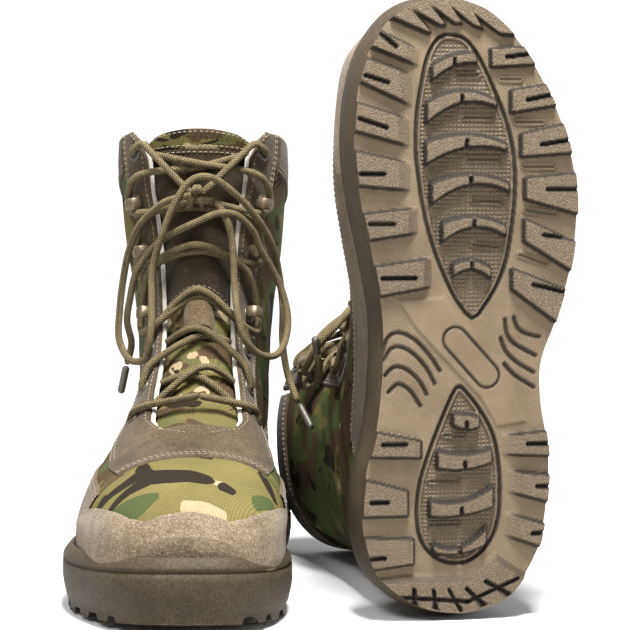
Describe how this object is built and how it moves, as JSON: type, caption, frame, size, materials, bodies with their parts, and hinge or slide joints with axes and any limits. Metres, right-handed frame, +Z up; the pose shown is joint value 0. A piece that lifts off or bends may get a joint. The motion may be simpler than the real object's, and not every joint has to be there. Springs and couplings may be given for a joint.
{
  "type": "insulated hunting boots",
  "caption": "Pair of lace-up insulated hunting boots with suede overlays, camouflage fabric panels and lugged rubber soles; one stands, one lies on its back.",
  "frame": {"origin": "centre of the pair's footprint, on the floor", "axes": "+Z up; the standing right boot's toe points towards -Y and slightly to -X; the left boot lies on its back at +X with its toe up and its shaft pointing towards +Y"},
  "size_m": [0.265, 0.3142, 0.3142],
  "materials": {
    "rubber": "matte, stippled",
    "foam": "matte foam",
    "steel": "plain",
    "board": "pressed fibre board",
    "suede": "napped suede",
    "camouflage": "printed woodland camouflage twill",
    "wadding": "soft wadding",
    "fleece": "brushed fleece",
    "cord": "round braid",
    "hardware": "worn brown paint",
    "tip": "smooth"
  },
  "bodies": {
    "right_boot": {"right_outsole": "rubber", "right_midsole": "foam", "right_shank": "steel", "right_insole_board": "board", "right_footbed": "foam", "right_toe_puff": "board", "right_heel_counter": "board", "right_insulation": "wadding", "right_lining": "fleece", "right_toe_cap": "suede", "right_vamp": "camouflage", "right_eyestay": "suede", "right_quarter_medial": "camouflage", "right_quarter_lateral": "camouflage", "right_heel_cover": "suede", "right_collar": "suede", "right_tongue": "camouflage", "right_lace_keeper": "suede", "right_lace": "cord", "right_bow_medial": "cord", "right_aglet_medial": "tip", "right_bow_lateral": "cord", "right_aglet_lateral": "tip", "right_hook_medial_1": "hardware", "right_hook_lateral_1": "hardware", "right_hook_medial_2": "hardware", "right_hook_lateral_2": "hardware", "right_hook_medial_3": "hardware", "right_hook_lateral_3": "hardware"},
    "left_boot": {"left_outsole": "rubber", "left_midsole": "foam", "left_shank": "steel", "left_insole_board": "board", "left_footbed": "foam", "left_toe_puff": "board", "left_heel_counter": "board", "left_insulation": "wadding", "left_lining": "fleece", "left_toe_cap": "suede", "left_vamp": "camouflage", "left_eyestay": "suede", "left_quarter_medial": "camouflage", "left_quarter_lateral": "camouflage", "left_heel_cover": "suede", "left_collar": "suede", "left_tongue": "camouflage", "left_lace_keeper": "suede", "left_lace": "cord", "left_bow_medial": "cord", "left_aglet_medial": "tip", "left_bow_lateral": "cord", "left_aglet_lateral": "tip", "left_hook_medial_1": "hardware", "left_hook_lateral_1": "hardware", "left_hook_medial_2": "hardware", "left_hook_lateral_2": "hardware", "left_hook_medial_3": "hardware", "left_hook_lateral_3": "hardware"}
  },
  "joints": [
    {"name": "left_boot_apart", "type": "slide", "parent": "right_boot", "child": "left_boot", "axis": [1, 0, 0], "range_m": [0, 0.3]}
  ]
}
